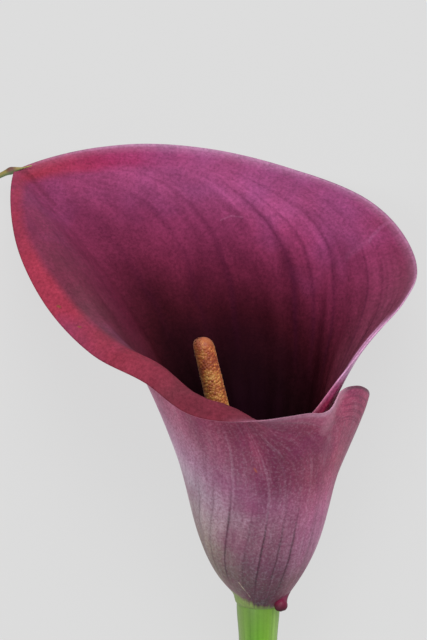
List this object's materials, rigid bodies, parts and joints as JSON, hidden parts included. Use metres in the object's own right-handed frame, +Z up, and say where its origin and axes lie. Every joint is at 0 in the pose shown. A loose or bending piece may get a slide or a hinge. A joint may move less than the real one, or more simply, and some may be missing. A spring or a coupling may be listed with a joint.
{
  "type": "calla lily flower",
  "caption": "Cut calla lily flower lying on its back: a burgundy spathe rolled into a flared funnel with a tailed tip, an orange spadix inside it, and a green stem.",
  "frame": {"origin": "on the surface the flower lies on, under the middle of its box", "axes": "+Y from the cut end of the stem to the flower's head, +Z up out of the mouth of the funnel, +X to the flower's right"},
  "size_m": [0.1124, 0.2232, 0.0688],
  "materials": {
    "stem_skin": "fresh smooth green stalk, satin",
    "spathe_skin": "thin velvety petal-like bract, burgundy inside and mauve outside, satin",
    "spadix_florets": "matte orange florets"
  },
  "bodies": {
    "root": {"stem": "stem_skin", "spathe": "spathe_skin", "spadix": "spadix_florets"}
  },
  "joints": []
}
